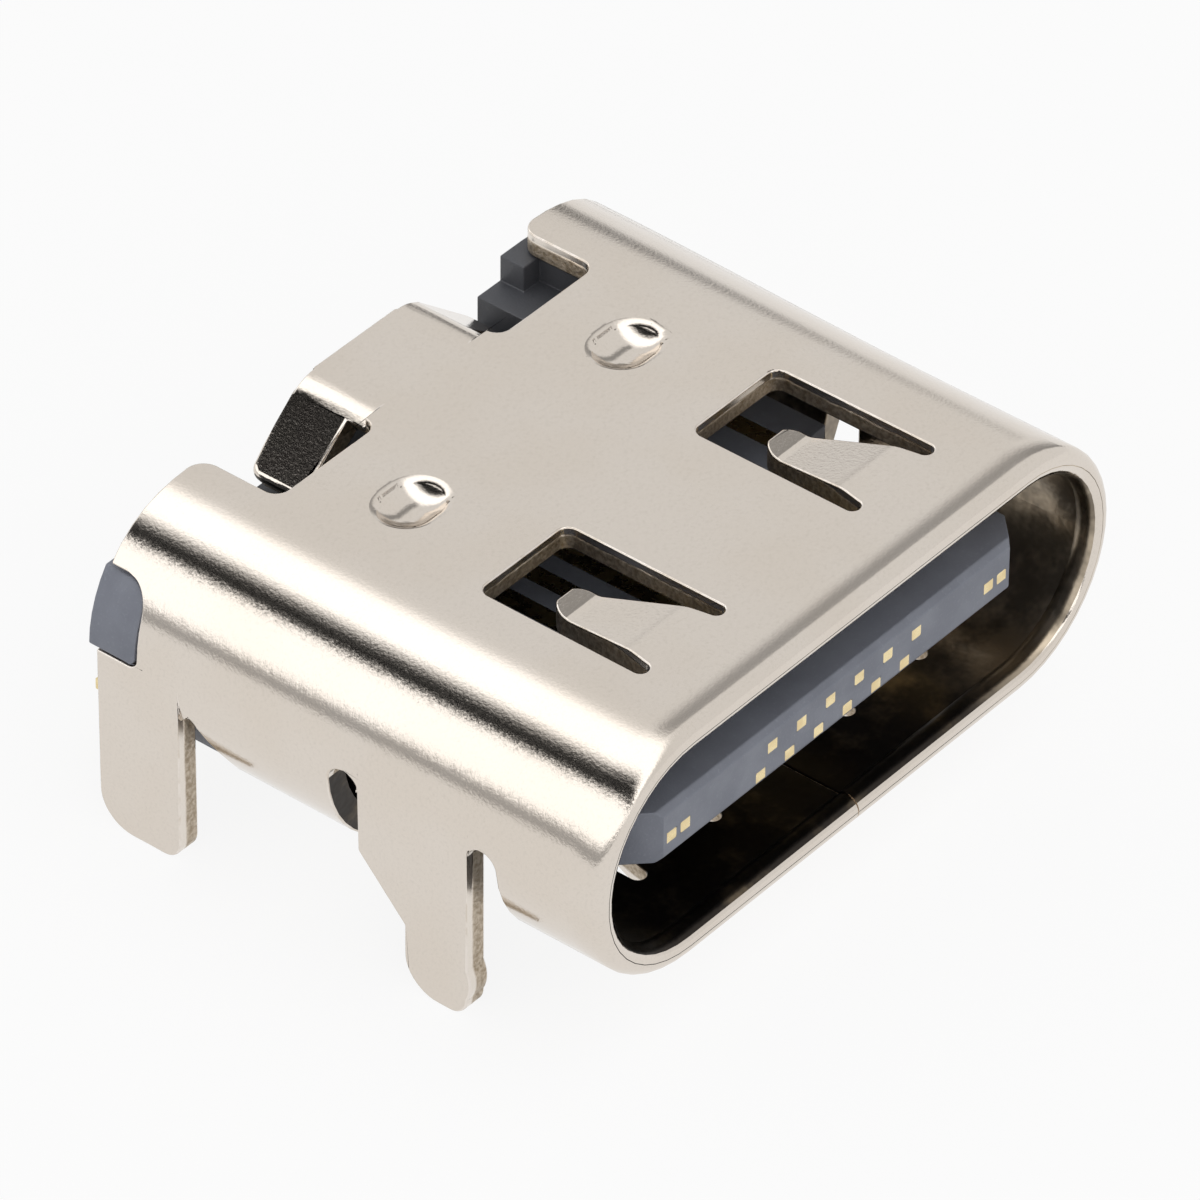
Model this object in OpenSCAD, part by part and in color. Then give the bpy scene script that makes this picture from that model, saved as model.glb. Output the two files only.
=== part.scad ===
// USB-C socket for a circuit board, 16 contacts, with four solder legs and two locating pegs.
// The origin is midway between the pegs, on the board's top face. The mouth faces -Y, and +Z is up.

/* [Mouth] */
// Inside width of the mouth
mouth_w = 8.34; // [8.1:0.02:8.6]
// Inside height of the mouth
mouth_h = 2.56; // [2.46:0.02:2.8]
// Rounding of the mouth's outer edge
lip_r = 0.17; // [0.08:0.01:0.19]

/* [Shell] */
// Thickness of the sheet
sheet = 0.30; // [0.25:0.01:0.34]
// Length of the shell's sides, from the mouth to the back
shell_len = 7.04; // [6.9:0.02:7.4]
// Height of the shell's underside above the board
standoff = 0.05; // [0.02:0.01:0.3]
// Width of the seam under the shell
seam_w = 0.02; // [0.02:0.01:0.08]
// Length of the dovetail that locks the seam
dovetail_len = 0.70; // [0.5:0.05:1]

/* [Spring fingers] */
// Distance from the shell's middle plane to a window's near side
window_x = 1.07; // [0.9:0.01:1.2]
// Width of a window
window_w = 1.48; // [1.3:0.02:1.6]
// Distance from the mouth to the front of a window's slots
window_y = 1.00; // [0.8:0.02:1.2]
// Length of a window
window_len = 2.25; // [2.1:0.05:2.5]
// Width of the slots beside a finger's root
slot_w = 0.20; // [0.14:0.01:0.24]
// Width of a finger at its tip
finger_tip_w = 0.54; // [0.4:0.02:0.7]
// Length of a finger
finger_len = 1.60; // [1.4:0.05:1.7]
// How far a finger's contact bend stands inside the wall
finger_drop = 0.27; // [0.15:0.01:0.35]

/* [Dimples] */
// Distance from the middle plane to a dimple
dimple_x = 1.83; // [1.6:0.01:2]
// Distance from the mouth to the dimples
dimple_y = 4.78; // [4.3:0.02:5]
// Depth of a dimple
dimple_depth = 0.18; // [0.1:0.01:0.22]

/* [Back edge] */
// Distance from the middle plane to the inner side of a notch
notch_x0 = 1.04; // [1:0.01:1.15]
// Distance from the middle plane to the outer side of a notch
notch_x1 = 2.70; // [2.6:0.02:2.8]
// Distance from the mouth to the front of the notches
notch_y = 5.94; // [5.85:0.01:6.1]
// Width of a bent lug, measured along the shell
lug_w = 0.78; // [0.6:0.02:0.82]
// Distance from the middle plane to where the lugs and the tab's sides bend down
lug_x = 0.70; // [0.6:0.01:0.76]
// Length of a lug beyond its bend
lug_len = 1.02; // [0.9:0.01:1.08]
// Angle that a lug is bent down by
lug_angle = 38; // [30:1:42]
// Distance from the mouth to the cut-outs in the sides
ear_y = 6.47; // [6.4:0.01:6.55]
// Height of the top of a side cut-out above the middle of the mouth
ear_top = 0.97; // [0.8:0.01:1.05]

/* [Legs] */
// Length of the legs below the board's top face
leg_depth = 0.77; // [0.6:0.01:1.6]
// Distance from the mouth to the front edge of the front legs
front_leg_y = 1.81; // [1.7:0.01:1.9]
// Width of a front leg's blade
front_leg_w = 0.87; // [0.7:0.01:1]
// Width of a front leg's root
front_root_w = 1.52; // [1.4:0.01:1.54]
// Distance from the mouth to the front edge of the back legs
back_leg_y = 5.88; // [5.8:0.01:5.95]
// Width of a back leg
back_leg_w = 1.16; // [1:0.01:1.16]

/* [Tongue] */
// Width of the tongue
tongue_w = 6.69; // [6.5:0.01:6.75]
// Thickness of the tongue
tongue_t = 0.70; // [0.66:0.01:0.76]
// Distance from the mouth to the tongue's tip
tongue_y = 0.31; // [0.2:0.01:0.5]
// Thickness of the mid plate
plate_t = 0.14; // [0.1:0.01:0.16]

/* [Moulding] */
// Depth of the space for the plug, from the mouth
cavity_len = 6.20; // [6.1:0.01:6.3]
// Length of the moulding's back end beyond the shell's sides
back_overhang = 0.11; // [0.04:0.01:0.3]
// Half width of the base between the legs
base_half = 3.92; // [3.8:0.01:4]
// Distance from the mouth to the front of the base
base_y = 5.42; // [5.4:0.01:5.5]

/* [Locating pegs] */
// Diameter of a peg
peg_d = 0.50; // [0.4:0.01:0.6]
// Length of a peg below the board's top face
peg_len = 0.65; // [0.4:0.01:0.75]
// Distance between the pegs
peg_spacing = 5.78; // [5.6:0.02:6]
// Distance from the mouth to the pegs
peg_y = 5.93; // [5.85:0.01:6.2]

/* [Contacts] */
// Distance between neighbouring contacts
pitch = 0.50; // [0.48:0.01:0.52]
// Width of a contact
contact_w = 0.25; // [0.2:0.01:0.27]
// Thickness of a contact
contact_t = 0.14; // [0.1:0.01:0.15]
// Length of the solder feet behind the moulding
foot_len = 0.80; // [0.6:0.02:1]

/* [Hidden] */

round_fn = 96;
small_fn = 32;

// Clearances
fit = 0.02;          // moulding inside the shell
ear_gap = 0.03;      // moulding's ears in the shell's side cut-outs
lug_gap = 0.02;      // lug behind the middle tab's back edge
floor_gap = 0.04;    // shell's floor in front of the moulding's base
pocket_gap = 0.04;   // moulding round the lug and the tab's bent sides
carrier_gap = 0.03;  // carriers in front of the lower row's drops

// How far a cutting shape reaches past what it cuts
past = 0.30;

// Mouth and tube. The end bends have their centres at x = +-bend_x.
inner_r = mouth_h / 2;
outer_r = inner_r + sheet;
lip_flat = 0.01;
inner_lip_r = sheet - lip_r - lip_flat;
run = mouth_w - mouth_h;
bend_x = run / 2;
side_x = bend_x + outer_r;
mouth_z = standoff + outer_r;
board_z = -mouth_z;

// Back edge
back_y = shell_len + back_overhang;
lug_y0 = back_y - lug_gap - lug_w;
lug_bend_r = 0.30;
lug_tip_r = 0.16;
notch_r = 0.18;
notch_back_r = 0.24;
flange_y0 = notch_y + notch_r;
ear_bottom = 0;
ear_low_r = 0.12;
ear_high_r = 0.32;

// Spring fingers, in side view
finger_root_run = 0.25;
finger_tip_run = 0.30;
finger_tip_rise = 0.07;
finger_bend_r = 0.40;
window_corner_r = 0.14;

// Dimples: pressed by a round rod that lies across the shell, with its axis above the surface
dimple_axis = 0.27;
dimple_len = 0.20;
dimple_boss = 0.04;

// Side slots and legs, as outlines in depth and height
leg_z = board_z - leg_depth;
front_slot_w = 0.39;
front_slot_top = 0.04;
mid_slot_w = 0.42;
mid_slot_top = 0.13;
front_slot_y = front_leg_y - front_slot_w;
mid_slot_y = front_leg_y + front_root_w;
shoulder_up = 0.73;
shoulder_z = shoulder_up - outer_r;
shoulder_drop = 0.70;
tip_big_r = 0.46;
tip_small_r = 0.24;
floor_end = base_y - floor_gap;
back_slot_r = 0.10;
back_slot_up = 1.25;
back_slot_top = back_slot_up - outer_r;
fold_end_up = 0.72;
back_slot_low = fold_end_up - outer_r;
corner_inset = 0.28;
corner_x = bend_x - corner_inset;

// Seam under the shell, and the dovetail's half widths and reach as shares of its length
seam_y = (front_slot_y + floor_end) / 2;
dovetail_root = dovetail_len * 0.36;
dovetail_head = dovetail_len * 0.5;
dovetail_reach = dovetail_len * 0.6;

// Moulding
tongue_half = tongue_w / 2;
collar_over = 0.25;
collar_y = 4.80;
collar_half = tongue_half + collar_over;
collar_t = 1.10;
tip_chamfer = 0.34;
edge_chamfer = 0.07;
latch_y0 = 1.45;
latch_y1 = 3.15;
latch_depth = 0.30;
latch_slope = 0.15;
wing_up = 0.33;
wing_top = wing_up - inner_r;
pocket_deep = 0.78;
pocket_z = inner_r - pocket_deep;
pocket_y = lug_y0 - pocket_gap;
pocket_x0 = lug_x - pocket_gap;
pocket_x1 = 2.10;
ledge_deep = 0.36;
ledge_z = inner_r - ledge_deep;
ledge_x1 = 2.50;
ledge_over = 0.08;
ledge_x2 = notch_x1 + ledge_over;
post_len = 0.35;
post_y = back_y - post_len;
peg_nose = 0.12;

// Contact rows. Blades lie flush with the tongue's faces. The two rows' tips stand aside from
// each other at the tongue's front, and those at the tongue's two ends are level with each other.
blade_z = (tongue_t - contact_t) / 2;
tip_w = 0.16;
tip_drop = -0.05;
tip_z = 0.145;
tip_shift = 0.10;
end_tip_shift = 0.115;
tip_bend_y0 = 0.62;
tip_bend_y1 = 0.98;
blade_lap = 0.25;
drop_inset = 0.30;
drop_step = 0.34;
upper_drop_y = back_y - drop_inset;
lower_drop_y = upper_drop_y - drop_step;
drop_lap = 0.05;
exit_up = 0.42;
exit_z = board_z + exit_up;
foot_z = board_z + contact_t / 2;
foot_bend_run0 = 0.12;
foot_bend_run1 = 0.28;
foot_bend_y0 = back_y + foot_bend_run0;
foot_bend_y1 = back_y + foot_bend_run1;
bend_r = 0.16;
tip_bend_r = 0.12;
foot_tip = back_y + foot_len;

// Carriers and mid plate
carrier_half = 3.05;
carrier_len = 1.38;
carrier_y1 = lower_drop_y - carrier_gap;
carrier_y0 = carrier_y1 - carrier_len;
carrier_z0 = plate_t / 2;
carrier_z1 = 0.47;
plate_y0 = 0.90;
plate_back = 0.13;
plate_y1 = carrier_y1 - plate_back;
plate_inset = 0.02;
plate_half = tongue_half - plate_inset;
plate_notch_y = 2.35;
plate_notch_slope = 0.10;
plate_notch_depth = 0.42;

// Each contact: name, row (1 upper, -1 lower), place on the tongue in pitches, place of its foot
CONTACTS = [
    ["a1", 1, -5.5, -6.15], ["a4", 1, -2.5, -4.6], ["a5", 1, -1.5, -2.5], ["a6", 1, -0.5, -0.5],
    ["a7", 1, 0.5, 0.5], ["a8", 1, 1.5, 2.5], ["a9", 1, 2.5, 4.6], ["a12", 1, 5.5, 6.15],
    ["b12", -1, -5.5, -6.75], ["b9", -1, -2.5, -5.2], ["b8", -1, -1.5, -3.5], ["b7", -1, -0.5, -1.5],
    ["b6", -1, 0.5, 1.5], ["b5", -1, 1.5, 3.5], ["b4", -1, 2.5, 5.2], ["b1", -1, 5.5, 6.75]];

// ---------------------------------------------------------------- helpers

// Moves a piece drawn from the middle of the mouth into the part's own frame
module place() translate([0, -peg_y, mouth_z]) children();

// Extrudes a front-view outline (x, z) from y0 to y1
module along_y(y0, y1) translate([0, y1, 0]) rotate([90, 0, 0]) linear_extrude(y1 - y0) children();

// Extrudes a side-view outline (y, z) from x0 to x1
module along_x(x0, x1) translate([x0, 0, 0]) rotate([90, 0, 90]) linear_extrude(x1 - x0) children();

// Extrudes a plan-view outline (x, y) from z0 to z1
module along_z(z0, z1) translate([0, 0, z0]) linear_extrude(z1 - z0) children();

// The piece and its mirror image on the other side of the middle plane
module both_sides() for (s = [0, 1]) mirror([s, 0, 0]) children();

// A box between two corners
module block(low, high) translate(low) cube(high - low);

// The tube's outline at radius r
module stadium(r) {
    for (s = [-1, 1]) translate([s * bend_x, 0]) circle(r = r, $fn = round_fn);
    square([run, 2 * r], center = true);
}

// Sweeps a profile (distance from the bend's centre, depth) round the tube
module sweep_round_tube() {
    for (s = [0, 1]) mirror([s, 0, 0]) translate([bend_x, 0, 0])
        rotate([-90, 0, 0]) rotate([0, 0, -90]) rotate_extrude(angle = 180, $fn = round_fn) children();
    for (s = [0, 1]) mirror([0, 0, s]) along_x(-bend_x, bend_x) mirror([1, -1]) children();
}

// A straight-sided outline whose end at y0, from x0 to x1, has corners of radius r0 and r1.
// The rest of it goes round through the points in others, from [x1, ...] back to [x0, ...].
module rounded_end(x0, x1, y0, r0, r1, others) {
    translate([x0 + r0, y0 + r0]) circle(r = r0, $fn = small_fn);
    translate([x1 - r1, y0 + r1]) circle(r = r1, $fn = small_fn);
    polygon(concat([[x0, y0 + r0], [x0 + r0, y0 + r0], [x0 + r0, y0],
        [x1 - r1, y0], [x1 - r1, y0 + r1], [x1, y0 + r1]], others));
}

// A rectangle from corner to corner, with the two corners at its low y rounded
module front_rounded(x0, x1, y0, y1, r0, r1) rounded_end(x0, x1, y0, r0, r1, [[x1, y1], [x0, y1]]);

function unit(v) = v / norm(v);
function turn(v) = [-v[1], v[0]];

// The points of a bend of radius r at corner b, between a and c
function bend_points(a, b, c, r, steps = 4) =
    let (u = unit(a - b), v = unit(c - b), half = acos(u * v) / 2,
        centre = b + unit(u + v) * r / sin(half),
        first = b + u * r / tan(half) - centre, last = b + v * r / tan(half) - centre,
        side = sign(first[0] * last[1] - first[1] * last[0]), sweep = side * (180 - 2 * half))
    [for (i = [0:steps]) let (t = sweep * i / steps)
        centre + [first[0] * cos(t) - first[1] * sin(t), first[0] * sin(t) + first[1] * cos(t)]];

// A path with its inner corners rounded
function bent_path(p, r) = [p[0],
    for (i = [1:len(p) - 2]) each bend_points(p[i - 1], p[i], p[i + 1], r), p[len(p) - 1]];

// The path moved sideways by d
function beside(p, d) = [for (i = [0:len(p) - 1])
    let (n0 = turn(unit(p[i] - p[max(i - 1, 0)] + (i == 0 ? p[1] - p[0] : [0, 0]))),
        n1 = turn(unit(p[min(i + 1, len(p) - 1)] - p[i] + (i == len(p) - 1 ? p[i] - p[i - 1] : [0, 0]))),
        m = unit(n0 + n1))
    p[i] + m * d / (m * n0)];

// The edge view of a strip of thickness t that follows a path
module strip(p, r, t) {
    path = bent_path(p, r);
    left = beside(path, t / 2);
    right = beside(path, -t / 2);
    polygon(concat(left, [for (i = [len(right) - 1:-1:0]) right[i]]));
}

// ---------------------------------------------------------------- shell

// The tube's wall in section, with the rounded rim of the mouth
module wall_profile() front_rounded(inner_r, outer_r, 0, shell_len, inner_lip_r, lip_r);

// The U-shaped window round a finger, seen from above
module window_outline() {
    slot_r = slot_w / 2;
    for (x = [window_x + slot_r, window_x + window_w - slot_r])
        translate([x, window_y + slot_r]) circle(r = slot_r, $fn = small_fn);
    translate([0, window_y + slot_r]) mirror([0, 1]) translate([0, -window_len + slot_r])
        front_rounded(window_x, window_x + window_w, 0, window_len - slot_r,
            window_corner_r, window_corner_r);
}

// One spring finger: it slopes inwards to its contact bend, and its tip turns back up
module finger() {
    root_y = window_y + slot_w / 2;
    root_half = window_w / 2 - slot_w;
    tip_half = finger_tip_w / 2;
    tip_y = root_y + finger_len;
    mid_z = outer_r - sheet / 2;
    low_z = mid_z - finger_drop;
    intersection() {
        along_x(window_x, window_x + window_w)
            strip([[root_y, mid_z], [root_y + finger_root_run, mid_z],
                [tip_y - finger_tip_run, low_z], [tip_y, low_z + finger_tip_rise]], finger_bend_r, sheet);
        translate([window_x + window_w / 2, 0, 0]) along_z(0, outer_r + past) {
            polygon([[-root_half, root_y], [root_half, root_y],
                [tip_half, tip_y - tip_half], [-tip_half, tip_y - tip_half]]);
            translate([0, tip_y - tip_half]) circle(r = tip_half, $fn = small_fn);
        }
    }
}

// The rod with round ends that reaches d below the shell's surface
module dimple_rod(d) {
    r = dimple_axis + d;
    translate([dimple_x, dimple_y, outer_r + dimple_axis]) {
        rotate([0, 90, 0]) cylinder(r = r, h = dimple_len, center = true, $fn = round_fn);
        for (s = [-1, 1]) translate([s * dimple_len / 2, 0, 0]) sphere(r = r, $fn = round_fn);
    }
}

// The bent side of the middle tab, and the lug: a flat blade that goes on from it at the back
module lug() {
    top_r = lug_bend_r + sheet;
    translate([lug_x, 0, outer_r - top_r]) {
        translate([0, flange_y0, 0]) rotate([-90, 0, 0]) rotate([0, 0, -90])
            rotate_extrude(angle = lug_angle, $fn = round_fn)
                translate([lug_bend_r, 0]) square([sheet, lug_y0 + lug_w - flange_y0]);
        translate([0, lug_y0, 0]) rotate([0, lug_angle, 0]) along_z(lug_bend_r, top_r) rotate(90)
            front_rounded(0, lug_w, -lug_len, 0, lug_tip_r, lug_tip_r);
    }
}

// A notch in the top's back edge, seen from above: it is wider behind its front end, where the
// tab's side bends down, and its outer side runs out into the back edge with a round corner
module notch_outline() {
    front_rounded(notch_x0, notch_x1, notch_y, shell_len + past, notch_r, notch_r);
    translate([lug_x, flange_y0]) square([notch_x1 - lug_x, shell_len + past - flange_y0]);
    difference() {
        translate([notch_x1 - past, shell_len - notch_back_r])
            square([past + notch_back_r, notch_back_r + past]);
        translate([notch_x1 + notch_back_r, shell_len - notch_back_r])
            circle(r = notch_back_r, $fn = round_fn);
    }
}

// Openings in the side walls and their bent-under parts, in depth and height
module side_openings() {
    low = -2 * outer_r;
    // Slots in front of and behind the front leg, with round tops
    for (slot = [[front_slot_y, front_slot_w, front_slot_top], [mid_slot_y, mid_slot_w, mid_slot_top]]) {
        r = slot[1] / 2;
        translate([slot[0] + r, slot[2] - r]) circle(r = r, $fn = small_fn);
        translate([slot[0], low]) square([slot[1], slot[2] - r - low]);
    }
    translate([front_leg_y, low]) square([front_root_w, -low]);
    // Slot in front of the back leg, and all that would fold under behind it
    translate([back_leg_y - back_slot_r, back_slot_top - back_slot_r])
        circle(r = back_slot_r, $fn = small_fn);
    polygon([[back_leg_y, low], [back_leg_y, back_slot_top - back_slot_r],
        [back_leg_y - 1.8 * back_slot_r, back_slot_top - 0.6 * back_slot_r],
        [floor_end, back_slot_low], [floor_end, low]]);
    translate([back_leg_y, low]) square([shell_len - back_leg_y + past, -low]);
}

// Outline of a front leg, in depth and height
module front_leg_outline() {
    blade_end = front_leg_y + front_leg_w;
    root_end = front_leg_y + front_root_w;
    rounded_end(front_leg_y, blade_end, leg_z, tip_small_r, tip_big_r,
        [[blade_end, shoulder_z - shoulder_drop], [root_end, shoulder_z], [root_end, 0], [front_leg_y, 0]]);
}

// Outline of a back leg
module back_leg_outline() {
    leg_end = back_leg_y + back_leg_w;
    front_rounded(back_leg_y, leg_end, leg_z, 0, tip_small_r, tip_big_r);
}

// The dovetail's outline on the seam, grown by g
module dovetail_outline(g) polygon([
    [-g, seam_y - dovetail_root - g], [dovetail_reach + g, seam_y - dovetail_head - g],
    [dovetail_reach + g, seam_y + dovetail_head + g], [-g, seam_y + dovetail_root + g]]);

// The seam where the sheet's two edges meet underneath
module seam() along_z(-2 * outer_r, past - inner_r) {
    half = seam_w / 2;
    difference() {
        union() {
            translate([-half, -past]) square([seam_w, floor_end + 2 * past]);
            dovetail_outline(half);
        }
        dovetail_outline(-half);
        translate([-seam_w, 0]) dovetail_neck();
    }
}

// Material that joins the dovetail to its own side of the seam
module dovetail_neck() translate([0, seam_y - dovetail_root + seam_w / 2])
    square([2 * seam_w, 2 * dovetail_root - seam_w]);

module shell() color([0.82, 0.79, 0.75]) place() {
    difference() {
        union() {
            sweep_round_tube() wall_profile();
            // Inner side of the dimples
            intersection() {
                both_sides() dimple_rod(sheet + dimple_boss);
                block([-bend_x, dimple_y - outer_r, inner_r - sheet],
                    [bend_x, dimple_y + outer_r, inner_r + sheet / 2]);
            }
        }
        both_sides() dimple_rod(dimple_depth);
        // Windows, above and below
        for (s = [0, 1]) mirror([0, 0, s])
            both_sides() along_z(inner_r - sheet, outer_r + past) window_outline();
        // Side slots, and the parts of the bends that became legs
        both_sides() along_x(corner_x, side_x + past) side_openings();
        block([-corner_x, floor_end, -2 * outer_r], [corner_x, shell_len + past, back_slot_low]);
        seam();
        // Notches beside the middle tab
        both_sides() along_z(inner_r - 2 * sheet, outer_r + past) notch_outline();
        // Side cut-outs for the moulding's ears
        both_sides() along_x(bend_x, side_x + past) ear_outline(0);
    }
    for (s = [0, 1]) mirror([0, 0, s]) both_sides() finger();
    both_sides() lug();
    block([-lug_x, shell_len, inner_r], [lug_x, back_y, outer_r]);
    both_sides() along_x(side_x - sheet, side_x) {
        front_leg_outline();
        back_leg_outline();
    }
}

// A side cut-out's outline in depth and height, made smaller by g for the ear that stands in it
module ear_outline(g) mirror([1, -1])
    front_rounded(ear_bottom + g, ear_top - g, ear_y + g, shell_len + past,
        ear_low_r - g, ear_high_r - g);

// ---------------------------------------------------------------- contacts

// A contact's blade and tip, its drop to the board, and its foot
module contact(c) {
    up = c[1];
    at_end = abs(c[2]) > 5;
    blade_x = c[2] * pitch;
    tip_x = blade_x + up * (at_end ? end_tip_shift : tip_shift);
    front_z = at_end ? tip_drop : tip_drop + up * tip_z;
    foot_x = c[3] * pitch;
    drop_y = up > 0 ? upper_drop_y : lower_drop_y;
    top_z = up * blade_z;
    half = contact_w / 2;
    turn_r = bend_r + contact_t / 2;
    // Narrow tip that comes out at the tongue's front
    along_x(tip_x - tip_w / 2, tip_x + tip_w / 2)
        strip([[tongue_y, front_z], [tip_bend_y0, front_z], [tip_bend_y1, top_z],
            [tip_bend_y1 + blade_lap, top_z]], tip_bend_r, contact_t);
    // Blade along the tongue, and its bend down
    along_x(blade_x - half, blade_x + half)
        strip([[tip_bend_y1, top_z], [drop_y, top_z], [drop_y, top_z - turn_r - drop_lap]],
            turn_r, contact_t);
    // Drop, fanned out to the foot's place
    along_y(drop_y - contact_t / 2, drop_y + contact_t / 2)
        polygon([[blade_x - half, top_z - turn_r - drop_lap], [blade_x + half, top_z - turn_r - drop_lap],
            [foot_x + half, exit_z + turn_r], [foot_x - half, exit_z + turn_r]]);
    // Foot
    along_x(foot_x - half, foot_x + half)
        strip([[drop_y, exit_z + turn_r], [drop_y, exit_z], [foot_bend_y0, exit_z],
            [foot_bend_y1, foot_z], [foot_tip, foot_z]], tip_bend_r, contact_t);
}

module contact_piece(name) color([0.83, 0.69, 0.42]) place()
    for (c = CONTACTS) if (c[0] == name) contact(c);

module contact_row(up) for (c = CONTACTS) if (c[1] == up) contact(c);

// ---------------------------------------------------------------- mid plate and carriers

// A symmetrical outline from the points of its right half, listed from front to back
module mirrored_outline(half) polygon(concat(half,
    [for (i = [len(half) - 1:-1:0]) [-half[i][0], half[i][1]]]));

// The plate, with a latch notch in each side
module plate_solid() along_z(-plate_t / 2, plate_t / 2) mirrored_outline([
    [plate_half - tip_chamfer, plate_y0], [plate_half, plate_y0 + tip_chamfer],
    [plate_half, plate_notch_y], [plate_half - plate_notch_depth, plate_notch_y + plate_notch_slope],
    [plate_half - plate_notch_depth, latch_y1], [plate_half, latch_y1], [plate_half, plate_y1]]);

module mid_plate() color([0.62, 0.62, 0.61]) place() plate_solid();

// The block that one row of contacts is moulded into
module carrier_solid(up) {
    z0 = up > 0 ? carrier_z0 : -carrier_z1;
    block([-carrier_half, carrier_y0, z0], [carrier_half, carrier_y1, z0 + carrier_z1 - carrier_z0]);
}

module carrier(up) difference() {
    carrier_solid(up);
    contact_row(up);
}

module upper_carrier() color([0.20, 0.21, 0.23]) place() carrier(1);
module lower_carrier() color([0.20, 0.21, 0.23]) place() carrier(-1);

// ---------------------------------------------------------------- housing

// The tongue's outline seen from above, with its side recesses for the plug's latches
module tongue_outline() mirrored_outline([
    [tongue_half - tip_chamfer, tongue_y], [tongue_half, tongue_y + tip_chamfer],
    [tongue_half, latch_y0], [tongue_half - latch_depth, latch_y0 + latch_slope],
    [tongue_half - latch_depth, latch_y1], [tongue_half, latch_y1], [tongue_half, cavity_len]]);

// The tongue's section seen from the side, with its bevelled tip
module tongue_side_outline() {
    h = tongue_t / 2;
    polygon([[tongue_y, -h + edge_chamfer], [tongue_y + edge_chamfer, -h], [cavity_len, -h],
        [cavity_len, h], [tongue_y + edge_chamfer, h], [tongue_y, h - edge_chamfer]]);
}

module tongue() {
    intersection() {
        along_x(-tongue_half, tongue_half) tongue_side_outline();
        along_z(-tongue_t, tongue_t) tongue_outline();
    }
    // Collar round the tongue's root
    block([-collar_half, collar_y, -collar_t / 2], [collar_half, cavity_len, collar_t / 2]);
}

// The back wall, from the plug's space to the moulding's back face
module back_wall() {
    along_y(cavity_len, back_y) stadium(inner_r - fit);
    block([-base_half, cavity_len, board_z], [base_half, back_y, -inner_r / 2]);
    // Ears in the shell's side cut-outs
    intersection() {
        along_y(ear_y, back_y) stadium(outer_r);
        both_sides() along_x(bend_x, side_x) ear_outline(ear_gap);
    }
}

// The base in front of the back wall, under the plug's space
module base() difference() {
    block([-base_half, base_y, board_z], [base_half, cavity_len, wing_top]);
    along_y(base_y - past, cavity_len) stadium(inner_r);
}

module peg() translate([peg_spacing / 2, peg_y, board_z - peg_len]) {
    cylinder(d1 = peg_d - peg_nose, d2 = peg_d, h = peg_nose, $fn = small_fn);
    translate([0, 0, peg_nose]) cylinder(d = peg_d, h = peg_len - peg_nose + sheet, $fn = small_fn);
}

// Recesses behind the shell's notches: a deep one for the lug, a ledge, and a trough in front
module lug_recess() {
    block([pocket_x0, pocket_y, pocket_z], [pocket_x1, back_y + past, outer_r]);
    block([pocket_x0, cavity_len - past, ledge_z], [ledge_x1, back_y + past, outer_r]);
    block([pocket_x0, cavity_len - past, ledge_z], [ledge_x2, post_y, outer_r]);
}

module housing() color([0.30, 0.31, 0.34]) place() difference() {
    union() {
        tongue();
        difference() {
            back_wall();
            both_sides() lug_recess();
        }
        base();
        both_sides() peg();
    }
    plate_solid();
    for (up = [1, -1]) {
        carrier_solid(up);
        contact_row(up);
    }
}

// ---------------------------------------------------------------- pieces

shell();
housing();
upper_carrier();
lower_carrier();
mid_plate();
contact_piece("a1");  // contact_a1
contact_piece("a4");  // contact_a4
contact_piece("a5");  // contact_a5
contact_piece("a6");  // contact_a6
contact_piece("a7");  // contact_a7
contact_piece("a8");  // contact_a8
contact_piece("a9");  // contact_a9
contact_piece("a12");  // contact_a12
contact_piece("b1");  // contact_b1
contact_piece("b4");  // contact_b4
contact_piece("b5");  // contact_b5
contact_piece("b6");  // contact_b6
contact_piece("b7");  // contact_b7
contact_piece("b8");  // contact_b8
contact_piece("b9");  // contact_b9
contact_piece("b12");  // contact_b12
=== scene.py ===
import math

import bmesh
import bpy
from mathutils import Matrix, Vector

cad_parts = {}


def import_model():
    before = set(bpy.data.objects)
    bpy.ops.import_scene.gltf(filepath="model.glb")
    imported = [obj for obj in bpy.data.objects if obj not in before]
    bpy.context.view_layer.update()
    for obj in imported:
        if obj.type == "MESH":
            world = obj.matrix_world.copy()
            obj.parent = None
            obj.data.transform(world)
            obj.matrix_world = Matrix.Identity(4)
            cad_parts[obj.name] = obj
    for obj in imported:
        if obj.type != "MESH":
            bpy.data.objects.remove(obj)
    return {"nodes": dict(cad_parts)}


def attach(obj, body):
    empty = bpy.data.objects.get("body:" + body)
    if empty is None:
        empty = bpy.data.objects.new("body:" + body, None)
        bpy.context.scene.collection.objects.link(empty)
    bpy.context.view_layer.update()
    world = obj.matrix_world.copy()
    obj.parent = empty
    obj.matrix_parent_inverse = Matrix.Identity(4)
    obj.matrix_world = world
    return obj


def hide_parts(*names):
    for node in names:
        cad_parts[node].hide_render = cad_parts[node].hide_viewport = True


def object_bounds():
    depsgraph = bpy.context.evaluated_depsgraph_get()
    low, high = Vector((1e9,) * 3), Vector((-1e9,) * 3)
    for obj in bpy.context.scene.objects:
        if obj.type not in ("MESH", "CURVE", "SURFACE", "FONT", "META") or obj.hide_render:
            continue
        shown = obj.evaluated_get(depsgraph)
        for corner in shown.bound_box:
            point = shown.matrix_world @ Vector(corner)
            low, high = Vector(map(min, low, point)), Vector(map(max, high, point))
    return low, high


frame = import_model()
cad_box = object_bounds()
NODES = frame["nodes"]

# Everything below is worked out in millimetres, and only the finished meshes are scaled to metres.
MM = 0.001

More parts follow.
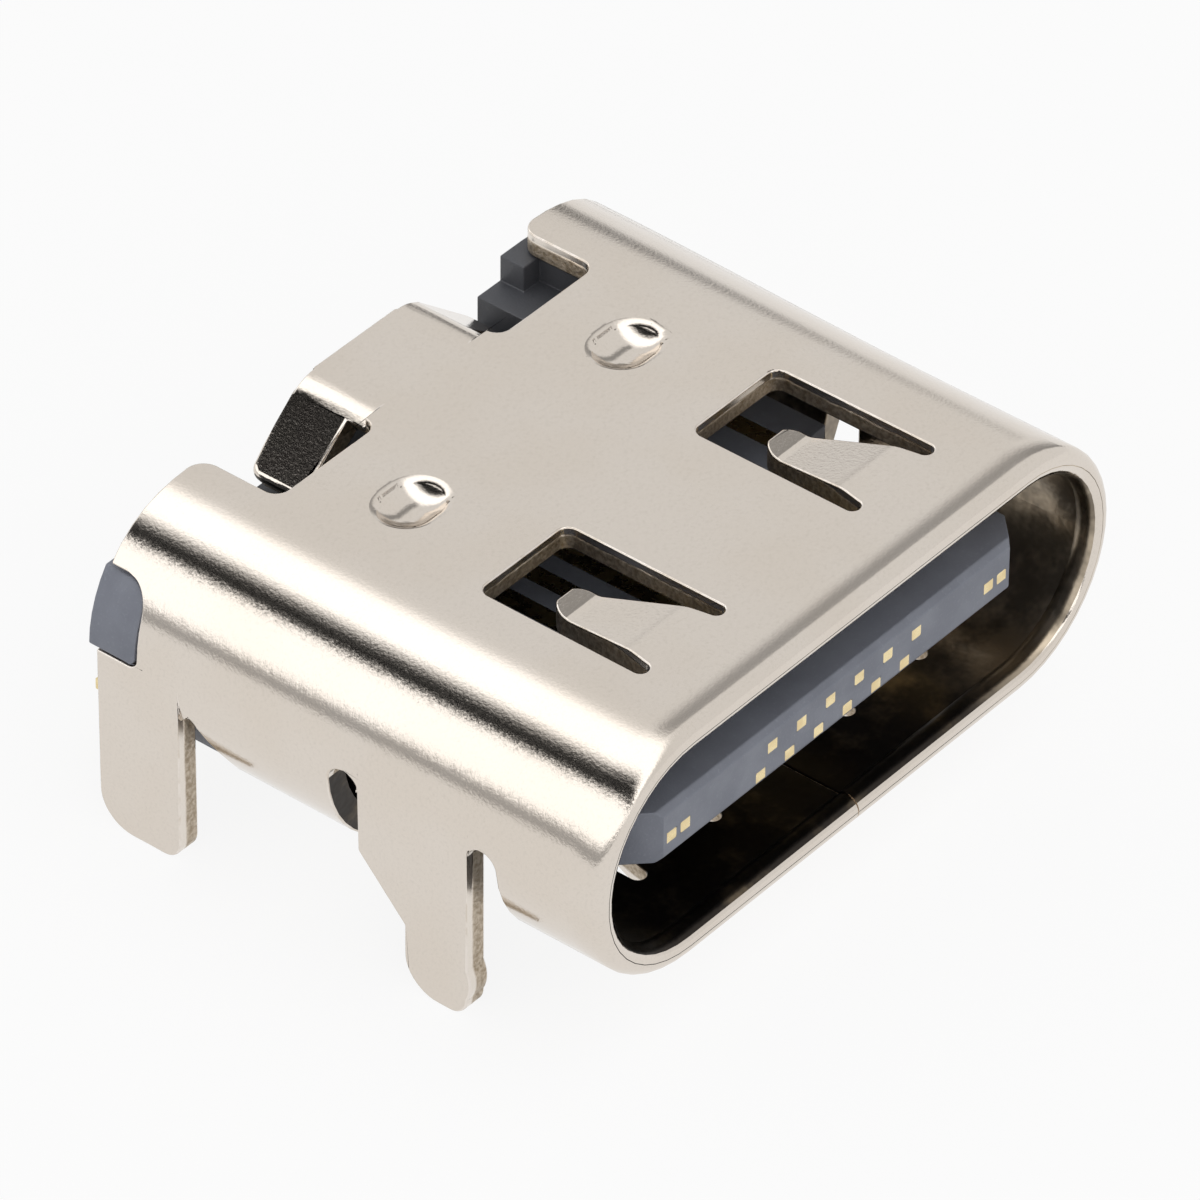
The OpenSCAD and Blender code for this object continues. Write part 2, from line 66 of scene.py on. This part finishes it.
# The part's own sizes, as in its source
BEND_X = 2.89          # centre of the shell's end bends, from the middle plane
OUTER_R = 1.58         # outside radius of the bends
SHEET = 0.30           # thickness of the sheet
MOUTH_Y = -5.93        # the mouth's plane
MOUTH_Z = 1.63         # middle of the mouth above the board
LEG_TIP_Z = -0.77      # lowest point of the legs, which stand on the floor
SIDE_X = BEND_X + OUTER_R
INNER_R = OUTER_R - SHEET
RIM_LEN = 0.20         # how far the rounded rim reaches behind the mouth's plane
LIP_R = 0.17           # rounding of the rim's outer side
LIP_FLAT = 0.01
ROLL_LEN = 0.46        # how far behind the mouth's plane the sheet starts to roll over into the rim
ROLL_TILT = 13.0       # how far it has turned, in degrees, where the rim's rounding begins
ROLL_RINGS = 4         # steps in which it does
DIMPLE_X, DIMPLE_Y = 1.83, MOUTH_Y + 4.78
DIMPLE_REACH = 0.60    # from a dimple's middle to just beyond its rim
LUG_TIP_X = 1.50       # the lugs' rounded ends lie beyond this, and inside NOTCH_X
NOTCH_X = 2.40
NOTCH_Y = MOUTH_Y + 6.20
LUG_HIGH, LUG_LOW = 0.3, 0.9    # and between these depths below the top
TONGUE_HALF, TONGUE_T, TONGUE_Y = 3.345, 0.70, MOUTH_Y + 0.31    # half width, thickness and tip

# The bends grow a little squarer towards the back, as folded sheet does
SQUARE_Y0, SQUARE_Y1 = MOUTH_Y + 2.0, MOUTH_Y + 7.0
SQUARE_OUT = 0.08      # most that the bends stand out from the round
SQUARE_RINGS = 8       # steps in which they do

# How wide the edges are rounded
EDGE_ROUND = 0.022     # the sheet's cut edges
DIMPLE_ROUND = 0.07    # the dimples' rims
LUG_ROUND = 0.09       # the lugs' tips
MOULD_ROUND = 0.018    # the moulding's edges

# Material slots of the sheet. The moulding's rounded edges are in EDGE_SLOT as well.
SKIN_SLOT, CUT_SLOT, EDGE_SLOT, INSIDE_SLOT = range(4)

# Distances within which a point counts as lying on a surface
ON_SKIN = 0.01
NEAR_SKIN = 0.02
WELD = 2e-4            # corners nearer to each other than this are one
FLAT_ANGLE = 0.4       # faces that meet at less than this, in degrees, are joined
ALONG = 0.7            # a face counts as facing a direction when this much of its normal lies along it


# ---------------------------------------------------------------- node helpers

def new_material(name):
    m = bpy.data.materials.new(name)
    m.use_nodes = True
    t = m.node_tree
    t.nodes.clear()
    out = t.nodes.new("ShaderNodeOutputMaterial")
    return m, t, out


def add(t, kind, values=None, **settings):
    """A node of that kind. values holds its inputs, by name or number: sockets to link, and plain values."""
    n = t.nodes.new(kind)
    for k, v in settings.items():
        setattr(n, k, v)
    for k, v in (values or {}).items():
        if isinstance(v, bpy.types.NodeSocket):
            t.links.new(v, n.inputs[k])
        else:
            n.inputs[k].default_value = v
    return n


def math_node(t, operation, a, b=0.0):
    return add(t, "ShaderNodeMath", {0: a, 1: b}, operation=operation).outputs[0]


def ramp(t, value, low, high, to_low=0.0, to_high=1.0):
    """value from low..high to to_low..to_high, eased at both ends and held beyond them"""
    n = add(t, "ShaderNodeMapRange", {"Value": value, "From Min": low, "From Max": high,
                                      "To Min": to_low, "To Max": to_high},
            interpolation_type="SMOOTHSTEP")
    return n.outputs["Result"]


def mix_color(t, factor, a, b):
    """Colour a where factor is 0, and b where it is 1"""
    n = add(t, "ShaderNodeMix", data_type="RGBA", blend_type="MIX")
    for i, v in ((0, factor), (6, a), (7, b)):
        if isinstance(v, bpy.types.NodeSocket):
            t.links.new(v, n.inputs[i])
        else:
            n.inputs[i].default_value = (*v, 1) if isinstance(v, tuple) else v
    return n.outputs[2]


def position(t, scale=(1, 1, 1)):
    """Object position in millimetres, times scale"""
    c = add(t, "ShaderNodeTexCoord")
    m = add(t, "ShaderNodeMapping", {"Vector": c.outputs["Object"], "Scale": tuple(s / MM for s in scale)})
    return m.outputs["Vector"]


def noise(t, where, scale, detail=2.0, roughness=0.5):
    values = {"Vector": where, "Scale": scale, "Detail": detail, "Roughness": roughness}
    return add(t, "ShaderNodeTexNoise", values).outputs["Fac"]


def bump(t, height, depth_mm, normal=None):
    values = {"Height": height, "Distance": depth_mm * MM, "Strength": 1.0}
    if normal is not None:
        values["Normal"] = normal
    return add(t, "ShaderNodeBump", values).outputs["Normal"]


def finish_principled(t, out, values):
    p = add(t, "ShaderNodeBsdfPrincipled", values)
    t.links.new(p.outputs[0], out.inputs[0])


# ---------------------------------------------------------------- materials

NICKEL = (0.70, 0.640, 0.575)
NICKEL_WARM = (0.66, 0.585, 0.50)
SLATE = (0.260, 0.275, 0.325)
SLATE_DARK = (0.225, 0.238, 0.282)
# Painted shade for the moulding's back, between the bends
SLATE_PAINTED_SHADE = (0.075, 0.078, 0.088)
CARRIER = (0.050, 0.052, 0.060)
CARRIER_DARK = (0.035, 0.036, 0.042)
WHITE = (1, 1, 1, 1)


def bend_angle(t, at):
    """How far round its bend a point is, from 0 on top to 90 on the side and 180 underneath"""
    xyz = add(t, "ShaderNodeSeparateXYZ", {0: at}).outputs
    over = math_node(t, "SUBTRACT", math_node(t, "ABSOLUTE", xyz[0]), BEND_X)
    up = math_node(t, "SUBTRACT", xyz[2], MOUTH_Z)
    return math_node(t, "DEGREES", math_node(t, "ARCTAN2", over, up))


def nickel_skin():
    """Satin nickel plate: fine grain everywhere, and streaks that run round the bends"""
    m, t, out = new_material("nickel_skin")
    at = position(t)
    patch = noise(t, at, 0.7, detail=2)
    grain = noise(t, at, 26.0, detail=3, roughness=0.6)
    color = mix_color(t, ramp(t, patch, 0.35, 0.65, 0.0, 0.3), NICKEL, NICKEL_WARM)
    color = mix_color(t, ramp(t, grain, 0.45, 0.8, 0.0, 0.16), color, (0.45, 0.40, 0.35))
    angle = bend_angle(t, at)
    on_bend = math_node(t, "MULTIPLY", ramp(t, angle, 32, 42), ramp(t, angle, 68, 56))
    streak = noise(t, position(t, (2.0, 8.0, 2.0)), 2.2, detail=4, roughness=0.7)
    streaks = math_node(t, "MULTIPLY", on_bend, streak)
    normal = bump(t, grain, 0.0013)
    normal = bump(t, streaks, 0.0055, normal)
    pressed = add(t, "ShaderNodeAttribute", attribute_name="depth").outputs["Fac"]
    round_bend = ramp(t, angle, 4, 16, 0.20, 0.12)
    rough = math_node(t, "MINIMUM", round_bend, ramp(t, pressed, 0.01, 0.04, 0.20, 0.10))
    finish_principled(t, out, {"Base Color": color, "Metallic": 1.0, "Roughness": rough, "Normal": normal})
    return m


def nickel_inside_painted_shade():
    """The tube's inner face: the same plate, dull, with painted shade that leaves it near black and brown in
    patches, and painted light in the right-hand bend
    """
    m, t, out = new_material("nickel_inside_painted_shade")
    at = position(t)
    patch = noise(t, at, 1.1, detail=4, roughness=0.65)
    x = add(t, "ShaderNodeSeparateXYZ", {0: at}).outputs[0]
    # Painted shade: the inner face is near black, brown in patches
    color = mix_color(t, ramp(t, patch, 0.5, 0.75), (0.035, 0.030, 0.026), (0.16, 0.125, 0.085))
    # Painted light on the inside of the right-hand bend
    painted_light = math_node(t, "MULTIPLY", ramp(t, x, 1.8, 3.6), ramp(t, patch, 0.40, 0.60, 0.35, 1.0))
    color = mix_color(t, painted_light, color, (0.50, 0.42, 0.32))
    finish_principled(t, out, {"Base Color": color, "Metallic": 1.0, "Roughness": 0.30,
                               "Normal": bump(t, patch, 0.02)})
    return m


def nickel_edge():
    """The rounded, burnished edges of the sheet"""
    m, t, out = new_material("nickel_edge")
    at = position(t)
    wear = noise(t, at, 4.0, detail=3, roughness=0.6)
    color = mix_color(t, ramp(t, wear, 0.4, 0.65), (0.78, 0.72, 0.66), (0.68, 0.61, 0.53))
    normal = bump(t, noise(t, at, 24.0, detail=2), 0.002)
    finish_principled(t, out, {"Base Color": color, "Metallic": 1.0, "Roughness": 0.22, "Normal": normal})
    return m


def nickel_cut():
    """A sheared face: a burnished band under the outer skin, and a grainy, darker break below it"""
    m, t, out = new_material("nickel_cut")
    at = position(t)
    depth = add(t, "ShaderNodeAttribute", attribute_name="depth").outputs["Fac"]
    ragged = noise(t, at, 5.0, detail=2)
    depth = math_node(t, "ADD", depth, math_node(t, "MULTIPLY", ragged, 0.03))
    broken = ramp(t, depth, 0.10, 0.14)
    grain = noise(t, at, 16.0, detail=4, roughness=0.7)
    dark = mix_color(t, ramp(t, grain, 0.35, 0.65), (0.34, 0.27, 0.19), (0.58, 0.50, 0.40))
    color = mix_color(t, broken, (0.76, 0.70, 0.63), dark)
    normal = bump(t, math_node(t, "MULTIPLY", grain, broken), 0.012)
    rough = ramp(t, broken, 0, 1, 0.22, 0.42)
    finish_principled(t, out, {"Base Color": color, "Metallic": 1.0, "Roughness": rough, "Normal": normal})
    return m


def slate_plastic(name, color, darker, painted_shade=None):
    """Moulded plastic with a fine, slightly uneven surface. Where a shade colour is given, the middle of the
    back is darkened to it as painted shade
    """
    m, t, out = new_material(name)
    at = position(t)
    patch = noise(t, at, 2.0, detail=3)
    speck = noise(t, at, 26.0, detail=2, roughness=0.6)
    tint = mix_color(t, ramp(t, patch, 0.3, 0.7), color, darker)
    tint = mix_color(t, ramp(t, speck, 0.55, 0.8, 0.0, 0.25), tint, tuple(c * 1.6 for c in color))
    # Painted shade: the middle of the back, between the bends, is darkened
    if painted_shade:
        xyz = add(t, "ShaderNodeSeparateXYZ", {0: at}).outputs
        between = ramp(t, math_node(t, "ABSOLUTE", xyz[0]), BEND_X + 0.6, BEND_X)
        painted_shade_behind = math_node(t, "MULTIPLY", ramp(t, xyz[1], MOUTH_Y + 4.5, MOUTH_Y + 5.5), between)
        tint = mix_color(t, painted_shade_behind, tint, painted_shade)
    normal = bump(t, speck, 0.003)
    normal = bump(t, patch, 0.006, normal)
    finish_principled(t, out, {"Base Color": tint, "Roughness": ramp(t, patch, 0.3, 0.7, 0.42, 0.55),
                               "Specular IOR Level": 0.55, "Normal": normal})
    return m


def gold():
    """Gold plate, a little worn in patches"""
    m, t, out = new_material("gold_plate")
    at = position(t)
    patch = noise(t, at, 6.0, detail=3)
    color = mix_color(t, ramp(t, patch, 0.3, 0.7), (0.86, 0.72, 0.42), (0.78, 0.62, 0.34))
    rough = ramp(t, patch, 0.3, 0.7, 0.22, 0.34)
    normal = bump(t, noise(t, at, 25.0), 0.002)
    finish_principled(t, out, {"Base Color": color, "Metallic": 1.0, "Roughness": rough, "Normal": normal})
    return m


def plate_steel():
    """Bare steel, with the rolling's lines along the tongue"""
    m, t, out = new_material("plate_steel")
    at = position(t, (1.0, 0.2, 1.0))
    line = noise(t, at, 18.0, detail=3)
    color = mix_color(t, ramp(t, line, 0.35, 0.65), (0.58, 0.56, 0.53), (0.44, 0.42, 0.39))
    finish_principled(t, out, {"Base Color": color, "Metallic": 1.0, "Roughness": 0.34,
                               "Normal": bump(t, line, 0.003)})
    return m


# ---------------------------------------------------------------- meshes

def copy_in_mm(node, join_flat):
    """The node's mesh, with the triangles of its flat faces joined where join_flat is true"""
    bm = bmesh.new()
    bm.from_mesh(NODES[node].data)
    bmesh.ops.scale(bm, vec=(1 / MM,) * 3, verts=bm.verts)
    bmesh.ops.remove_doubles(bm, verts=bm.verts, dist=WELD)
    if join_flat:
        bmesh.ops.dissolve_limit(bm, angle_limit=math.radians(FLAT_ANGLE), use_dissolve_boundaries=False,
                                 verts=[], edges=bm.edges[:], delimit={"NORMAL"})
    bm.normal_update()
    return bm


def soften(bm, edges, width, segments, material):
    """Rounds the edges. The new faces take that material slot."""
    bmesh.ops.bevel(bm, geom=edges, offset=width, offset_type="OFFSET", segments=segments, profile=0.5,
                    affect="EDGES", clamp_overlap=False, loop_slide=True, material=material)
    bm.normal_update()


def sharp_edges(bm, sharper_than, wanted):
    """The edges that turn by more than that, in degrees, and whose two ends wanted agrees to"""
    return [e for e in bm.edges if len(e.link_faces) == 2
            and e.calc_face_angle(0) > math.radians(sharper_than)
            and wanted(e.verts[0].co, e.verts[1].co)]


def radial(p):
    """Direction away from the middle line of the shell's tube"""
    x = max(abs(p.x) - BEND_X, 0.0) * (1 if p.x > 0 else -1)
    v = Vector((x, 0, p.z - MOUTH_Z))
    return v.normalized() if v.length > 1e-6 else Vector((0, 0, 1))


def tube_radius(p):
    """Distance from the middle line of the shell's tube"""
    return math.hypot(max(abs(p.x) - BEND_X, 0.0), p.z - MOUTH_Z)


def is_leg(p):
    return abs(p.x) > SIDE_X - SHEET - ON_SKIN and p.z < MOUTH_Z


def on_rim(p):
    return p.y < MOUTH_Y + RIM_LEN


def near_dimple(p):
    return math.hypot(abs(p.x) - DIMPLE_X, p.y - DIMPLE_Y) < DIMPLE_REACH and p.z > MOUTH_Z


def at_lug_tip(p):
    below_top = OUTER_R - p.z + MOUTH_Z
    return LUG_TIP_X < abs(p.x) < NOTCH_X and p.y > NOTCH_Y and LUG_HIGH < below_top < LUG_LOW


def sheet_skin(f):
    """Whether a face is the sheet's rolled surface and not a sheared edge"""
    p, n = f.calc_center_median(), f.normal
    if on_rim(p) or near_dimple(p) or is_leg(p) and abs(n.x) > ALONG:
        return True
    return abs(n.dot(radial(p))) > ALONG


def depth_below_skin(p):
    if is_leg(p):
        return SIDE_X - abs(p.x)
    return OUTER_R - tube_radius(p)


def rim_normal(p):
    """Direction of the mouth's rounded rim: an arc outside, an arc inside, and a narrow flat between them"""
    across = tube_radius(p) - INNER_R
    depth = p.y - MOUTH_Y
    inner_r = SHEET - LIP_R - LIP_FLAT
    out = max(across - (SHEET - LIP_R), 0) - max(inner_r - across, 0)
    r = LIP_R if out > 0 else inner_r
    return (out * radial(p) + Vector((0, min(depth - r, 0), 0))).normalized()


def true_normal(p, n):
    """The direction of the sheet's own surface at p, where n is about that direction, or None"""
    if p.y < MOUTH_Y + LIP_R - 1e-3:
        rim = rim_normal(p)
        return rim if rim.dot(n) > 0.9 else None
    if is_leg(p) and abs(n.x) > 0.995:
        return Vector((math.copysign(1, n.x), 0, 0))
    out = radial(p)
    side = out.dot(n)
    level = min(abs(tube_radius(p) - r) for r in (INNER_R, OUTER_R))
    if abs(side) > 0.99 and level < 0.004:
        return math.copysign(1, side) * out
    return None


def smooth_normals(o, sheet=False, sharper_than=35):
    """Gives flat and round faces their true direction. The narrow rounded edges turn between them."""
    me = o.data
    broad = [[] for _ in me.vertices]
    every = [Vector() for _ in me.vertices]
    for f in me.polygons:
        for v in f.vertices:
            every[v] += f.normal * f.area
            if f.material_index != EDGE_SLOT:
                broad[v].append((f.normal, f.area))
    limit = math.cos(math.radians(sharper_than))
    normals = []
    for f in me.polygons:
        for v in f.vertices:
            p = me.vertices[v].co / MM
            rounded = f.material_index == EDGE_SLOT
            true = true_normal(p, f.normal) if sheet and not rounded else None
            if true is None:
                near = [(n, a) for n, a in broad[v] if n.dot(f.normal) > limit or rounded]
                true = sum((n * a for n, a in near), Vector()) if near else every[v]
                mine = true.normalized() if true.length > 0 else f.normal
                true = (true_normal(p, mine) if sheet else None) or mine
            normals.append(true.normalized())
    me.normals_split_custom_set(normals)


def keep_inside(bm):
    """Takes back the corners that the rounding pushed out of the sheet or out of the CAD model's box.
    It flattens the moulding's base and pegs too, as they lie outside the tube: a fault."""
    low, high = (Vector(c) / MM for c in cad_box)
    for v in bm.verts:
        over = tube_radius(v.co) - OUTER_R
        if over > 0 and not is_leg(v.co):
            v.co -= over * radial(v.co)
        v.co = Vector(min(max(c, a), b) for c, a, b in zip(v.co, low, high))


def squarer(y):
    """How square the bends are at that depth, from 0 to 1"""
    share = min(max((y - SQUARE_Y0) / (SQUARE_Y1 - SQUARE_Y0), 0), 1)
    return share * share * (3 - 2 * share)


def rolled_normal(p, n):
    """The sheet starts to turn forwards a little behind the rim, so the rim has no hard line behind it"""
    depth = p.y - MOUTH_Y
    if depth > ROLL_LEN or n.dot(radial(p)) < 0 or n.y > 0.05:
        return n
    turned = math.asin(min(max(-n.y, 0), 1)) / math.radians(90)
    share = min((ROLL_LEN - depth) / (ROLL_LEN - LIP_R), 1)
    axis = n.cross(Vector((0, -1, 0)))
    if axis.length < 0.05:
        return n
    return Matrix.Rotation(math.radians(ROLL_TILT) * share * (1 - turned), 3, axis) @ n


def shape_bends(o):
    """Moves the upper bends out a little towards the back, and rolls the surface over behind the rim"""
    me = o.data
    corners = []
    for loop, corner in zip(me.loops, me.corner_normals):
        p = me.vertices[loop.vertex_index].co / MM
        corners.append(rolled_normal(p, Vector(corner.vector)))
    for v in me.vertices:
        p = v.co / MM
        v.co += SQUARE_OUT * bend_share(p) * radial(p) * MM
    me.normals_split_custom_set(corners)


def bend_share(p):
    """How far a point of the sheet moves out, as a share of SQUARE_OUT: most in the middle of a bend"""
    over, up = abs(p.x) - BEND_X, p.z - MOUTH_Z
    if over <= 0 or up <= 0 or tube_radius(p) < INNER_R - 0.05:
        return 0.0
    return squarer(p.y) * math.sin(2 * math.atan2(over, up)) ** 2


def finish_mesh(bm, name, materials):
    bmesh.ops.scale(bm, vec=(MM,) * 3, verts=bm.verts)
    me = bpy.data.meshes.new(name)
    bm.to_mesh(me)
    bm.free()
    for f in me.polygons:
        f.use_smooth = True
    o = bpy.data.objects.new(name, me)
    bpy.context.scene.collection.objects.link(o)
    for m in materials:
        me.materials.append(m)
    return o


def shell():
    bm = copy_in_mm("shell", join_flat=True)
    # Rings of corners, where the rim's roll and the bends' squareness can change
    rings = [MOUTH_Y + RIM_LEN + i * (ROLL_LEN - RIM_LEN) / ROLL_RINGS for i in range(1, ROLL_RINGS + 1)]
    rings += [SQUARE_Y0 + i * (SQUARE_Y1 - SQUARE_Y0) / SQUARE_RINGS for i in range(SQUARE_RINGS + 1)]
    for y in rings:
        bmesh.ops.bisect_plane(bm, geom=bm.verts[:] + bm.edges[:] + bm.faces[:], dist=1e-4,
                               plane_co=(0, y, 0), plane_no=(0, 1, 0))
    for f in bm.faces:
        f.material_index = SKIN_SLOT if sheet_skin(f) else CUT_SLOT
    rims = sharp_edges(bm, 30, lambda a, b: near_dimple(a) and tube_radius(a) > OUTER_R - ON_SKIN)
    soften(bm, rims, DIMPLE_ROUND, 4, SKIN_SLOT)
    tips = sharp_edges(bm, 40, lambda a, b: at_lug_tip(a) and at_lug_tip(b))
    tips = [e for e in tips if any(f.normal.z > 0.5 for f in e.link_faces)]
    soften(bm, tips, LUG_ROUND, 4, SKIN_SLOT)
    done = lambda a, b: on_rim(a) or near_dimple(a) or at_lug_tip(a) and at_lug_tip(b)
    plain = sharp_edges(bm, 40, lambda a, b: not done(a, b))
    soften(bm, plain, EDGE_ROUND, 2, EDGE_SLOT)
    keep_inside(bm)
    # Inner faces of the tube and the low fingers take the material with painted shade
    for f in bm.faces:
        p = f.calc_center_median()
        facing_in = f.normal.dot(radial(p)) < 0
        low_finger = p.z < MOUTH_Z and tube_radius(p) < INNER_R - NEAR_SKIN
        inside = f.material_index != CUT_SLOT and facing_in and tube_radius(p) < INNER_R + NEAR_SKIN
        if low_finger or inside:
            f.material_index = INSIDE_SLOT
    depth = bm.verts.layers.float.new("depth")
    for v in bm.verts:
        v[depth] = depth_below_skin(v.co)
    o = finish_mesh(bm, "shell_sheet", [nickel_skin(), nickel_cut(), nickel_edge(), nickel_inside_painted_shade()])
    smooth_normals(o, sheet=True)
    shape_bends(o)
    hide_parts("shell")
    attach(o, "root")


def beside_contact(a, b):
    """Whether an edge of the moulding borders a contact that lies flush in the tongue"""
    def flush(p):
        up = abs(p.z - MOUTH_Z)
        on_face = 0.15 < up < TONGUE_T / 2 + 0.002 and p.y > TONGUE_Y + 0.10
        on_tip = up < TONGUE_T / 2 - 0.08 and p.y < TONGUE_Y + 0.01
        return abs(p.x) < TONGUE_HALF - 0.05 and (on_face or on_tip)
    return flush(a) and flush(b)


def housing():
    bm = copy_in_mm("housing", join_flat=False)
    soften(bm, sharp_edges(bm, 30, lambda a, b: not beside_contact(a, b)), MOULD_ROUND, 2, EDGE_SLOT)
    keep_inside(bm)
    # The moulding, with painted shade at the middle of its back
    plastic = slate_plastic("slate", SLATE, SLATE_DARK, painted_shade=SLATE_PAINTED_SHADE)
    o = finish_mesh(bm, "moulded_body", [plastic] * (EDGE_SLOT + 1))
    smooth_normals(o)
    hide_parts("housing")
    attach(o, "root")


def give(node, material):
    """Gives a piece of the CAD model its material, and leaves its shape"""
    o = NODES[node]
    o.data.materials.clear()
    o.data.materials.append(material)


def inner_pieces():
    plate = plate_steel()
    black = slate_plastic("carrier_black", CARRIER, CARRIER_DARK)
    gold_material = gold()
    give("mid_plate", plate)
    for name in ("upper_carrier", "lower_carrier"):
        give(name, black)
    for name in NODES:
        if name.startswith("contact_"):
            give(name, gold_material)


# ---------------------------------------------------------------- stage, light and camera

FLOOR_HALF = 600.0     # half of the floor's width
FLOOR_GLOW = 0.88      # share of plain white in what the camera and the metal see of it


def floor():
    """A pale floor, which lights the part from below less than it seems to"""
    size = FLOOR_HALF * MM
    me = bpy.data.meshes.new("floor")
    corners = [(-size, -size, 0), (size, -size, 0), (size, size, 0), (-size, size, 0)]
    me.from_pydata(corners, [], [(0, 1, 2, 3)])
    o = bpy.data.objects.new("floor", me)
    o.location = (0, 0, LEG_TIP_Z * MM)
    bpy.context.scene.collection.objects.link(o)
    m, t, out = new_material("pale_floor")
    seen = add(t, "ShaderNodeLightPath").outputs
    shade = mix_color(t, seen["Is Diffuse Ray"], (0.97, 0.97, 0.97), (0.40, 0.40, 0.40))
    plain = add(t, "ShaderNodeBsdfDiffuse", {"Color": shade})
    white = add(t, "ShaderNodeEmission", {"Color": WHITE, "Strength": 1.0})
    both = math_node(t, "MAXIMUM", seen["Is Camera Ray"], seen["Is Transmission Ray"])
    both = math_node(t, "MAXIMUM", both, seen["Is Glossy Ray"])
    share = math_node(t, "MULTIPLY", both, FLOOR_GLOW)
    mix = add(t, "ShaderNodeMixShader", {0: share, 1: plain.outputs[0], 2: white.outputs[0]})
    t.links.new(mix.outputs[0], out.inputs[0])
    me.materials.append(m)


LAMP_SIZE = 110
LAMP_DISTANCE = 120


def world():
    """Soft light all round. Metal sees a white studio with a dark gap between its two large lamps."""
    w = bpy.data.worlds.new("studio")
    bpy.context.scene.world = w
    w.use_nodes = True
    t = w.node_tree
    t.nodes.clear()
    toward = add(t, "ShaderNodeTexCoord").outputs["Generated"]
    xyz = add(t, "ShaderNodeSeparateXYZ", {0: toward}).outputs
    # Angle from straight up towards +X
    lean = math_node(t, "DEGREES", math_node(t, "ARCTAN2", xyz[0], xyz[2]))
    high = math_node(t, "MULTIPLY", ramp(t, lean, -19, -12), ramp(t, lean, 24, 8))
    gap = math_node(t, "MULTIPLY", ramp(t, lean, -39, -34), ramp(t, lean, -18, -24))
    left = math_node(t, "MULTIPLY", ramp(t, lean, -82, -74), ramp(t, lean, -36, -42))
    skirting = math_node(t, "MULTIPLY", ramp(t, lean, -96, -90), ramp(t, lean, -78, -84))
    # A dark corner low down behind the part, and a band that crosses the right half from side to side
    corner = add(t, "ShaderNodeVectorMath", {0: toward, 1: (0.755, 0.638, 0.150)}, operation="DOT_PRODUCT")
    corner = ramp(t, corner.outputs["Value"], math.cos(math.radians(13)), math.cos(math.radians(6)))
    ahead = math_node(t, "MULTIPLY", ramp(t, xyz[1], 0.04, 0.16), ramp(t, xyz[1], 0.40, 0.26))
    band = math_node(t, "MULTIPLY", ahead, ramp(t, lean, 14, 30))
    glow = math_node(t, "ADD", 0.90, math_node(t, "MULTIPLY", high, 0.9))
    glow = math_node(t, "ADD", glow, math_node(t, "MULTIPLY", left, 0.75))
    for dark, depth in ((gap, 0.98), (skirting, 0.5), (corner, 0.95), (band, 0.60)):
        light = math_node(t, "SUBTRACT", 1.0, math_node(t, "MULTIPLY", dark, depth))
        glow = math_node(t, "MULTIPLY", glow, light)
    seen = add(t, "ShaderNodeLightPath").outputs
    soft = add(t, "ShaderNodeBackground", {"Color": WHITE, "Strength": 0.55})
    studio = add(t, "ShaderNodeBackground", {"Color": WHITE, "Strength": glow})
    white = add(t, "ShaderNodeBackground", {"Color": WHITE, "Strength": 1.0})
    lit = add(t, "ShaderNodeMixShader", {0: seen["Is Glossy Ray"], 1: soft.outputs[0], 2: studio.outputs[0]})
    plain = math_node(t, "MAXIMUM", seen["Is Camera Ray"], seen["Is Transmission Ray"])
    final = add(t, "ShaderNodeMixShader", {0: plain, 1: lit.outputs[0], 2: white.outputs[0]})
    out = add(t, "ShaderNodeOutputWorld")
    t.links.new(final.outputs[0], out.inputs[0])


def lamp(name, direction, power):
    """A square lamp that shines at the part from that direction, unseen by metal"""
    d = bpy.data.lights.new(name, "AREA")
    d.shape = "SQUARE"
    d.size = LAMP_SIZE * MM
    d.energy = power
    o = bpy.data.objects.new(name, d)
    o.location = Vector(direction).normalized() * LAMP_DISTANCE * MM
    o.rotation_euler = Vector(direction).to_track_quat("Z", "Y").to_euler()
    o.visible_glossy = False
    bpy.context.scene.collection.objects.link(o)


def lamps():
    lamp("key", (0.25, -0.35, 1.0), 0.026)
    lamp("fill", (-1.0, -0.9, 0.5), 0.034)


# The camera's angles are in degrees, and its distance is from CAMERA_TARGET
CAMERA_AZIMUTH = -50.9947
CAMERA_ELEVATION = 38.7317
CAMERA_ROLL = 0.5156
CAMERA_DISTANCE = 110.0
CAMERA_TARGET = (-4.4937, MOUTH_Y, MOUTH_Z + 4.3133)
LENS = 321.57
SENSOR = 36.0


def camera():
    a, e, s = (math.radians(v) for v in (CAMERA_AZIMUTH, CAMERA_ELEVATION, CAMERA_ROLL))
    back = Vector((math.sin(a) * math.cos(e), -math.cos(a) * math.cos(e), math.sin(e)))
    level = Vector((math.cos(a), math.sin(a), 0))
    upward = back.cross(level)
    right = math.cos(s) * level + math.sin(s) * upward
    up = -math.sin(s) * level + math.cos(s) * upward
    d = bpy.data.cameras.new("camera")
    d.lens = LENS
    d.sensor_width = SENSOR
    d.clip_start = 5 * MM
    d.clip_end = 5.0
    o = bpy.data.objects.new("camera", d)
    where = (Vector(CAMERA_TARGET) + CAMERA_DISTANCE * back) * MM
    turn = Matrix((right, up, back)).transposed().to_4x4()
    o.matrix_world = Matrix.Translation(where) @ turn
    bpy.context.scene.collection.objects.link(o)
    bpy.context.scene.camera = o


camera()
world()
lamps()
floor()
shell()
housing()
inner_pieces()
bpy.context.scene.view_settings.view_transform = "Standard"
